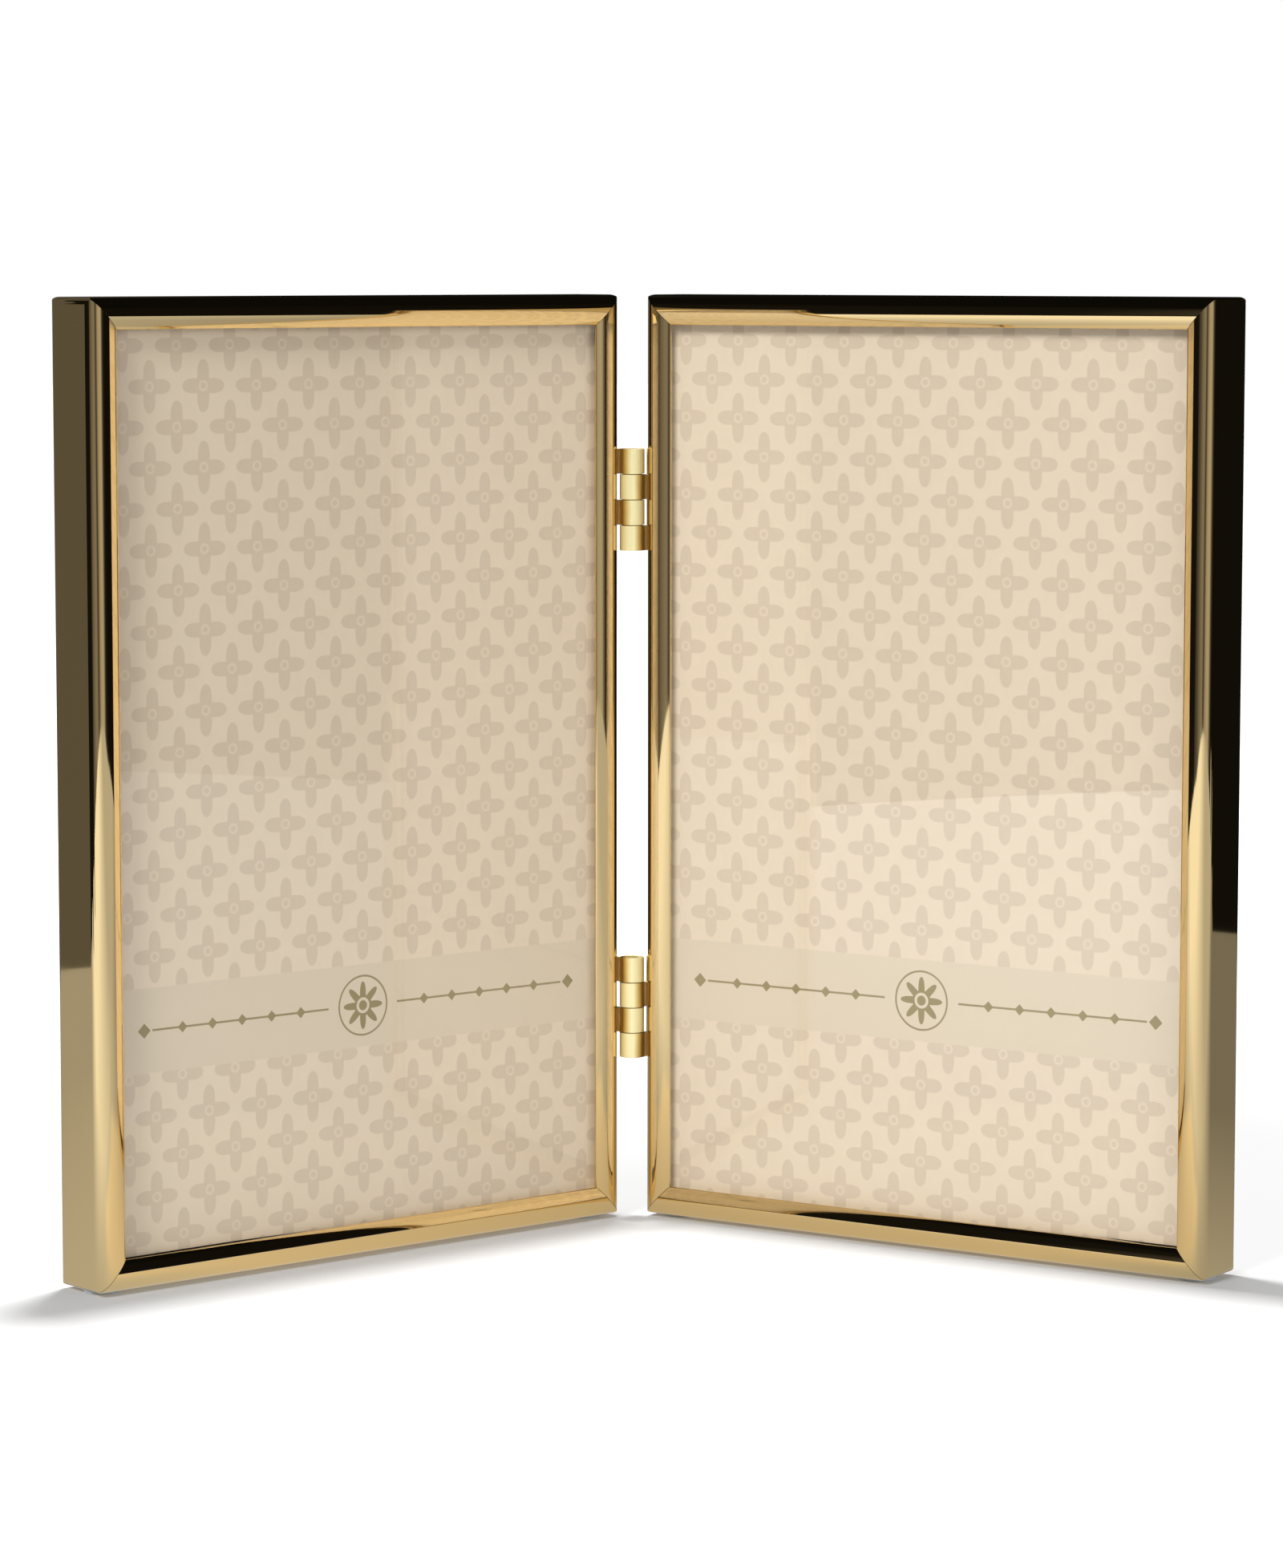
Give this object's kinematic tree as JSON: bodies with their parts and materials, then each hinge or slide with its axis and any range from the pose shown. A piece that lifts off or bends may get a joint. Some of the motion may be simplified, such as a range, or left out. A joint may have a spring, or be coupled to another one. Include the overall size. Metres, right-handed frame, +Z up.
{
  "type": "hinged double photo frame",
  "caption": "Pair of upright polished metal photo frames with glass and velvet backs, joined by small hinges so that they stand by themselves and fold shut like a book.",
  "frame": {"origin": "centre of the whole object's footprint at rest, on the surface that it stands on", "axes": "+X to the viewer's right along the width, +Y away from the viewer, +Z up"},
  "size_m": [0.193, 0.0744, 0.1614],
  "materials": {
    "rail_gold": "polished gold plate on rolled sheet metal",
    "hinge_brass": "bright brass plate on rolled steel leaves",
    "glass": "clear float glass",
    "print": "matt printed paper with a tonal ornament",
    "card": "plain grey-brown card",
    "board": "pressed fibre board",
    "velvet": "short black flock",
    "button_brass": "stamped brass-plated steel",
    "key_steel": "zinc-plated steel",
    "pad": "clear soft polymer pad"
  },
  "bodies": {
    "left_panel": {"left_top_rail": "rail_gold", "left_bottom_rail": "rail_gold", "left_outer_stile": "rail_gold", "left_hinge_stile": "rail_gold", "left_corner_keys": "key_steel", "left_glass": "glass", "left_photo_insert": "print", "left_filler_card": "card", "left_backing_board": "board", "left_velvet_cover": "velvet", "left_button_rivets": "button_brass", "left_foot_pads": "pad", "left_hinge_rivets": "hinge_brass", "upper_hinge_left_leaf": "hinge_brass", "upper_hinge_pin": "hinge_brass", "lower_hinge_left_leaf": "hinge_brass", "lower_hinge_pin": "hinge_brass"},
    "right_panel": {"right_top_rail": "rail_gold", "right_bottom_rail": "rail_gold", "right_outer_stile": "rail_gold", "right_hinge_stile": "rail_gold", "right_corner_keys": "key_steel", "right_glass": "glass", "right_photo_insert": "print", "right_filler_card": "card", "right_backing_board": "board", "right_velvet_cover": "velvet", "right_button_rivets": "button_brass", "right_foot_pads": "pad", "right_hinge_rivets": "hinge_brass", "upper_hinge_right_leaf": "hinge_brass", "lower_hinge_right_leaf": "hinge_brass"},
    "left_outer_upper_button": {"left_outer_upper_button": "button_brass"},
    "left_outer_lower_button": {"left_outer_lower_button": "button_brass"},
    "left_hinge_upper_button": {"left_hinge_upper_button": "button_brass"},
    "left_hinge_lower_button": {"left_hinge_lower_button": "button_brass"},
    "right_outer_upper_button": {"right_outer_upper_button": "button_brass"},
    "right_outer_lower_button": {"right_outer_lower_button": "button_brass"},
    "right_hinge_upper_button": {"right_hinge_upper_button": "button_brass"},
    "right_hinge_lower_button": {"right_hinge_lower_button": "button_brass"}
  },
  "joints": [
    {"name": "fold", "type": "hinge", "parent": "left_panel", "child": "right_panel", "pos_m": [0, 0.02924, 0.081], "axis": [0, 0, 1], "range_deg": [-106, 89]},
    {"name": "left_outer_upper_button_turn", "type": "hinge", "parent": "left_panel", "child": "left_outer_upper_button", "pos_m": [-0.08687, -0.02289, 0.11959], "axis": [-0.6018, 0.7986, 0], "continuous": true},
    {"name": "left_outer_lower_button_turn", "type": "hinge", "parent": "left_panel", "child": "left_outer_lower_button", "pos_m": [-0.08687, -0.02289, 0.04241], "axis": [-0.6018, 0.7986, 0], "continuous": true},
    {"name": "left_hinge_upper_button_turn", "type": "hinge", "parent": "left_panel", "child": "left_hinge_upper_button", "pos_m": [-0.01723, 0.02959, 0.11959], "axis": [-0.6018, 0.7986, 0], "continuous": true},
    {"name": "left_hinge_lower_button_turn", "type": "hinge", "parent": "left_panel", "child": "left_hinge_lower_button", "pos_m": [-0.01723, 0.02959, 0.04241], "axis": [-0.6018, 0.7986, 0], "continuous": true},
    {"name": "right_outer_upper_button_turn", "type": "hinge", "parent": "right_panel", "child": "right_outer_upper_button", "pos_m": [0.08687, -0.02289, 0.11959], "axis": [0.6018, 0.7986, 0], "continuous": true},
    {"name": "right_outer_lower_button_turn", "type": "hinge", "parent": "right_panel", "child": "right_outer_lower_button", "pos_m": [0.08687, -0.02289, 0.04241], "axis": [0.6018, 0.7986, 0], "continuous": true},
    {"name": "right_hinge_upper_button_turn", "type": "hinge", "parent": "right_panel", "child": "right_hinge_upper_button", "pos_m": [0.01723, 0.02959, 0.11959], "axis": [0.6018, 0.7986, 0], "continuous": true},
    {"name": "right_hinge_lower_button_turn", "type": "hinge", "parent": "right_panel", "child": "right_hinge_lower_button", "pos_m": [0.01723, 0.02959, 0.04241], "axis": [0.6018, 0.7986, 0], "continuous": true}
  ]
}
